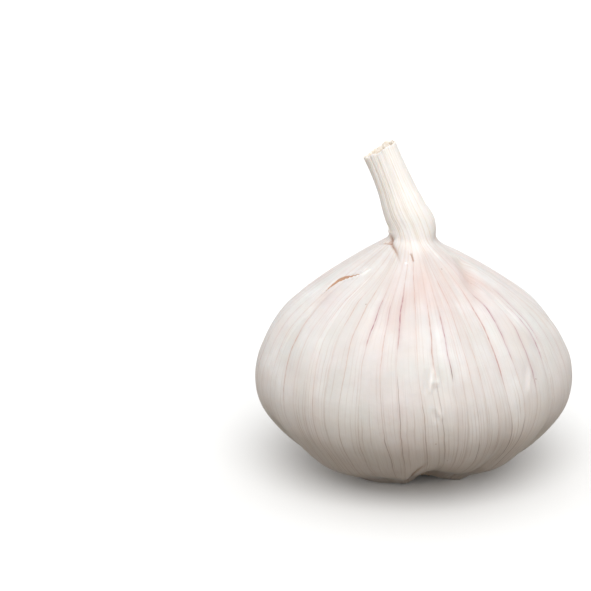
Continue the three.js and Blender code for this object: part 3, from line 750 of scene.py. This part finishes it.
which = put(t, "GeometryNodeInputIndex")
angle = put(t, "ShaderNodeMath", which, GOLDEN_ANGLE, pick(-0.4, 0.4, 1), operation="MULTIPLY_ADD")
ring = times(given["Ring"], pick(0.95, 1.03, 2))
place = put(t, "ShaderNodeCombineXYZ", times(put(t, "ShaderNodeMath", angle, operation="COSINE"), ring),
            times(put(t, "ShaderNodeMath", angle, operation="SINE"), ring), pick(0.25 * MM, 0.6 * MM, 3))
flap = put(t, "GeometryNodeMeshCube", None, 11, 7, 2)
x, y, z = (put(t, "ShaderNodeSeparateXYZ", put(t, "GeometryNodeInputPosition"), out=k) for k in (0, 1, 2))
narrowed = times(y, put(t, "ShaderNodeMath", x, 0.8, 0.6, operation="MULTIPLY_ADD"))
outer_end = put(t, "ShaderNodeMath", x, -0.42, operation="ADD")
shaped = put(t, "ShaderNodeCombineXYZ", outer_end, narrowed, z)
flap = put(t, "GeometryNodeSetPosition", flap, also={"Position": shaped})
turned = put(t, "ShaderNodeCombineXYZ", pick(-0.25, 0.25, 4), pick(-0.1, 0.2, 5),
             put(t, "ShaderNodeMath", angle, pick(-0.5, 0.5, 6), operation="ADD"))
size = put(t, "ShaderNodeCombineXYZ", times(given["Length"], pick(0.5, 1.2, 7)),
           times(given["Width"], pick(0.5, 1.5, 8)), given["Thickness"])
flaps = put(t, "GeometryNodePoints", given["Count"], place)
flaps = put(t, "GeometryNodeInstanceOnPoints", flaps, None, flap, also={"Rotation": turned, "Scale": size})
flaps = put(t, "GeometryNodeRealizeInstances", flaps)
here = put(t, "GeometryNodeInputPosition")
curl = put(t, "ShaderNodeTexNoise", here, None, 1 / (2.6 * MM), 2.0, out="Color")
curl = put(t, "ShaderNodeVectorMath", curl, (-0.5, -0.5, -0.42), operation="ADD")
curl = put(t, "ShaderNodeVectorMath", curl, (3.0 * MM, 3.0 * MM, 1.6 * MM), operation="MULTIPLY")
flaps = put(t, "GeometryNodeSetPosition", flaps, also={"Offset": curl})
flaps = put(t, "GeometryNodeRealizeInstances", squeezed(flaps, 0.1 * MM, 0.95 * MM))
flaps = put(t, "GeometryNodeSetMaterial", flaps, also={"Material": flap_skin})
t.links.new(flaps, t.nodes.new("NodeGroupOutput").inputs[0])

# Old torn garlic skin: thin, matt and creamy, blotched brownish where soil got into it.
here = put(s, "ShaderNodeTexCoord", out="Object")
stain_and_shade = put(s, "ShaderNodeTexNoise", here, None, 1 / (3 * MM), 3.0)
stain_tone = put(s, "ShaderNodeMapRange", stain_and_shade, 0.4, 0.65)
fill(s, shader, {
    "Base Color": layered(s, linear("#EDE3D6"), [(stain_tone, "#B08A62", 0.85)]), "Roughness": 0.7})
flaps = grown("torn_skin_flaps", bpy.data.meshes.new("nothing"), t, Count=32, Ring=10.9 * MM, Length=3.6 * MM,
              Width=2.2 * MM, Thickness=0.1 * MM, Seed=6)
# They rise with the skin that they hang from.
for point in flaps.data.vertices:
    angle = math.degrees(math.atan2(point.co.x, -point.co.y))
    point.co.z += float(eased(turn(angle), SETTLED) * smooth(point.co.xy.length / MM, 7, 13)) * MM
flaps.data.transform(Matrix.Translation((MIDDLE[0] * MM, MIDDLE[1] * MM, 0)))
flaps.data.shade_smooth()
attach(flaps, "root")
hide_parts("bulb")

# ---- The root plate ----
# The short, corky stem that the cloves and the roots grow from, in the hollow under the bulb. Its face
# was trimmed flat with a knife and dried to a pale disc with a low rim.
PLATE_COLUMNS, PLATE_ROWS = 180, 58
# Its half outline: radius and height, from the middle of its face, round its rim and back over its top.
PLATE = np.array([(0, 0.7), (2.6, 0.8), (5.6, 0.72), (6.2, 0.45), (6.7, 0.4), (7.3, 0.6), (7.9, 0.9),
                  (8.1, 1.5), (7.8, 2.2), (0, 2.3)])
walk = np.append(0, np.cumsum(np.hypot(*np.diff(PLATE, axis=0).T)))
stops = np.linspace(0.02, walk[-1] - 0.2, PLATE_ROWS)
r, a = np.meshgrid(np.interp(stops, walk, PLATE[:, 0]), np.arange(PLATE_COLUMNS) * math.tau / PLATE_COLUMNS,
                   indexing="ij")
z = np.interp(stops, walk, PLATE[:, 1])[:, None] + 0 * a
lumps = np.sin(2 * a + 0.9 * r + 1) * np.sin(0.8 * r + a)
lumps += 0.5 * np.sin(5 * a - 1.3 * r) * np.sin(1.9 * r + 2 * a)
lumps += 0.25 * np.sin(11 * a + 2.6 * r) * np.sin(3.3 * r - 3 * a)
z -= (z < 1.2) * 0.16 * lumps * smooth(r, 0.3, 2.5)
r *= 1 + 0.03 * np.sin(3 * a + 1) + 0.02 * np.sin(7 * a)
x, y = r * np.sin(a) + MIDDLE[0], -r * np.cos(a) + MIDDLE[1]
points = np.stack([x, y, np.maximum(z, 0.12)], -1).reshape(-1, 3)
faces = grid_faces(0, PLATE_ROWS, PLATE_COLUMNS) + fan_faces(len(points), 0, PLATE_COLUMNS, turned_over=True)
faces += fan_faces(len(points) + 1, len(points) - PLATE_COLUMNS, PLATE_COLUMNS)
points = np.concatenate([points, [(*MIDDLE, PLATE[0, 1]), (*MIDDLE, PLATE[-1, 1])]])
cork_disc = bpy.data.meshes.new("root_plate_cork")
cork_disc.from_pydata((points * MM).tolist(), [], faces)
cork_disc.shade_smooth()

# Dry plant cork, cut with a knife: matt and creamy in soft patches, finely grained, with a few pits, and
# browner towards its rim.
cork, t, shader = new_finish("dry_plant_cork")
here = put(t, "ShaderNodeTexCoord", out="Object")
from_middle = put(t, "ShaderNodeVectorMath", here, (*(-m * MM for m in MIDDLE), 0), operation="ADD")
from_middle = put(t, "ShaderNodeVectorMath", from_middle, (1, 1, 0), operation="MULTIPLY")
from_middle = put(t, "ShaderNodeVectorMath", from_middle, operation="LENGTH", out="Value")
rim_share = put(t, "ShaderNodeMapRange", from_middle, 5.4 * MM, 7.6 * MM)
blotch = put(t, "ShaderNodeTexNoise", here, None, 1 / (4.5 * MM), 3.0, out="Color")
blotches = [put(t, "ShaderNodeSeparateColor", blotch, out=k) for k in (0, 1)]
tan_blotch, green_blotch = (put(t, "ShaderNodeMapRange", blotch, 0.45, 0.65) for blotch in blotches)
grain = put(t, "ShaderNodeTexNoise", here, None, 1 / (0.6 * MM), 5.0, 0.65)
grain_tone = put(t, "ShaderNodeMapRange", grain, 0.45, 0.7)
pit = put(t, "ShaderNodeTexVoronoi", here, None, 1 / (2.2 * MM), feature="F1")
pit = put(t, "ShaderNodeMapRange", pit, 0.04, 0.14, 1.0, 0.0)
height = put(t, "ShaderNodeMath", pit, -0.8, grain, operation="MULTIPLY_ADD")
fill(t, shader, {
    "Base Color": layered(t, linear("#EADFC8"), [
        (tan_blotch, "#CFB08A", 0.7), (green_blotch, "#C9C6A2", 0.4), (grain_tone, "#B99E78", 0.45),
        (rim_share, "#B08A5C", 0.6), (pit, "#7C6040", 0.4)]),
    "Normal": put(t, "ShaderNodeBump", 0.8, 0.3 * MM, also={"Height": height}), "Roughness": 0.9})
cork_disc.materials.append(cork)
plate = in_scene("root_plate_cork", cork_disc)
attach(plate, "root")
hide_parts("root_plate")

# ---- The roots ----
# Dozens of dry roots stood round the plate in rows. They were trimmed to stubs a few millimetres long,
# brittle and bent, and they fill the rest of the hollow under the bulb.
t, given = new_tree("trimmed_roots", Count="Int", Ring="Float", Spread="Float", Length="Float",
                    Radius="Float", Lowest="Float", Highest="Float", Seed="Int")
root, s, shader = new_finish("dry_garlic_root")
which = put(t, "GeometryNodeInputIndex")
angle = put(t, "ShaderNodeMath", which, GOLDEN_ANGLE, pick(-0.25, 0.25, 1), operation="MULTIPLY_ADD")
ring = put(t, "ShaderNodeMath", pick(0.0, 1.0, 2), given["Spread"], given["Ring"], operation="MULTIPLY_ADD")
foot = put(t, "ShaderNodeCombineXYZ", times(put(t, "ShaderNodeMath", angle, operation="COSINE"), ring),
           times(put(t, "ShaderNodeMath", angle, operation="SINE"), ring),
           put(t, "ShaderNodeMapRange", pick(0.0, 1.0, 3), 0.0, 1.0, given["Lowest"], given["Highest"]))
feet = put(t, "GeometryNodePoints", given["Count"], foot)

# Five bent stubs one unit long to choose from, each a tapered tube with seven sides.
STUB_RADIUS = 0.12
stubs = t.nodes.new("GeometryNodeGeometryToInstance")
for bend, kink in ((0.18, 0.05), (-0.28, 0.1), (0.4, -0.12), (-0.1, 0.3), (0.05, -0.25)):
    line = put(t, "GeometryNodeCurvePrimitiveBezierSegment", 5, (0, 0, 0), (0.35, kink, 0.0),
               (0.65, bend, kink), (1, bend * 0.6, -kink))
    taper = put(t, "ShaderNodeMapRange", put(t, "GeometryNodeSplineParameter"), 0.0, 1.0, 1.1, 0.72)
    line = put(t, "GeometryNodeSetCurveRadius", line, also={"Radius": taper})
    section = put(t, "GeometryNodeCurvePrimitiveCircle", 7, also={"Radius": STUB_RADIUS})
    tube = put(t, "GeometryNodeCurveToMesh", line, section, also={"Fill Caps": True})
    t.links.new(tube, stubs.inputs[0])
turned = put(t, "ShaderNodeCombineXYZ", pick(-math.pi, math.pi, 4), pick(-0.12, 0.3, 5),
             put(t, "ShaderNodeMath", angle, pick(-0.75, 0.75, 6), operation="ADD"))
thick = times(given["Radius"], 1 / STUB_RADIUS, pick(0.6, 1.3, 8))
size = put(t, "ShaderNodeCombineXYZ", times(given["Length"], pick(0.6, 1.35, 7)), thick, thick)
which = put(t, "FunctionNodeRandomValue", also={4: 0, 5: 4, "Seed": 9}, out=2, data_type="INT")
made = put(t, "GeometryNodeInstanceOnPoints", feet, None, stubs.outputs[0], True, which, turned, size)
made = put(t, "GeometryNodeStoreNamedAttribute", made, also={"Name": "tone", "Value": pick(0.0, 1.0, 10)},
           data_type="FLOAT", domain="INSTANCE")
made = put(t, "GeometryNodeRealizeInstances", made)
made = put(t, "GeometryNodeRealizeInstances", squeezed(made, 0.75 * MM, 2.6 * MM))
made = put(t, "GeometryNodeSetMaterial", made, also={"Material": root})
t.links.new(made, t.nodes.new("NodeGroupOutput").inputs[0])

# Dried root: dull, from pale straw to dark brown from stub to stub, blotched and gritty with dry soil.
here = put(s, "ShaderNodeTexCoord", out="Object")
tone = put(s, "ShaderNodeAttribute", out="Fac", attribute_name="tone")
dark_stub = put(s, "ShaderNodeMapRange", tone, 0.55, 1.0)
pale_stub = put(s, "ShaderNodeMapRange", tone, 0.0, 0.4, 1.0, 0.0)
blotch = put(s, "ShaderNodeTexNoise", here, None, 1 / (2.6 * MM), 3.0)
blotch_tone = put(s, "ShaderNodeMapRange", blotch, 0.4, 0.65)
grit = put(s, "ShaderNodeTexNoise", here, None, 1 / (0.42 * MM), 3.0)
grit_tone = put(s, "ShaderNodeMapRange", grit, 0.5, 0.7)
fill(s, shader, {
    "Base Color": layered(s, linear("#C79E68"), [
        (pale_stub, "#DFC69B", 0.8), (dark_stub, "#8A5E34", 0.8), (blotch_tone, "#A87A46", 0.5),
        (grit_tone, "#6B4726", 0.5)]),
    "Normal": put(s, "ShaderNodeBump", 0.7, 0.12 * MM, also={"Height": grit}), "Roughness": 0.88})
roots = grown("root_stubs", bpy.data.meshes.new("nothing"), t, Count=370, Ring=6.5 * MM, Spread=1.8 * MM,
              Length=2.3 * MM, Radius=0.32 * MM, Lowest=0.6 * MM, Highest=2.1 * MM, Seed=3)
roots.data.transform(Matrix.Translation((MIDDLE[0] * MM, MIDDLE[1] * MM, 0)))
roots.data.shade_smooth()
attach(roots, "root")
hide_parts("root_plate")

# ---- Studio ----
# A plain pale floor and soft light: a bright sky all round, and a broad lamp high up in front.
bpy.context.scene.view_settings.view_transform = "Standard"
HALF_FLOOR = 3.0
floor_mesh = bpy.data.meshes.new("floor")
corners = ((-1, -1), (1, -1), (1, 1), (-1, 1))
floor_mesh.from_pydata([(x * HALF_FLOOR, y * HALF_FLOOR, -0.02 * MM) for x, y in corners], [], [(0, 1, 2, 3)])

# Matt studio paper. It looks nearly white, but it lights the underside only as a brown table would.
paper, t, shader = new_finish("matt_studio_paper")
seen = put(t, "ShaderNodeLightPath")
fill(t, shader, {"Base Color": layered(t, linear("#7B6F60"), [(seen, "#F8F8F7", 1.0)]), "Roughness": 0.9})
floor_mesh.materials.append(paper)
floor = in_scene("floor", floor_mesh)

sky = bpy.data.worlds.new("studio_sky")
bpy.context.scene.world = sky
sky.use_nodes = True
fill(sky.node_tree, sky.node_tree.nodes["Background"], {"Color": (1, 1, 1, 1), "Strength": 0.86})
broad_lamp = bpy.data.lights.new("broad_lamp", "SUN")
broad_lamp.energy = 1.5
broad_lamp.angle = math.radians(55)
lamp = in_scene("broad_lamp", broad_lamp)
lamp.rotation_euler = (math.radians(40), 0, math.radians(6))

# The camera looks down at the bulb by 19 degrees. It is turned a little aside, and rolled to keep the
# bulb upright, so that the bulb stands right of the picture's middle.
VIEW_DOWN, REACH, AIM_HEIGHT = math.radians(19), 312.7 * MM, 21 * MM
camera = in_scene("camera", bpy.data.cameras.new("camera"))
camera.data.lens = 100
camera.location = (0, -REACH * math.cos(VIEW_DOWN), AIM_HEIGHT + REACH * math.sin(VIEW_DOWN))
camera.rotation_euler = [math.radians(degrees) for degrees in (73.15, 1.2, 3.865)]
bpy.context.scene.camera = camera
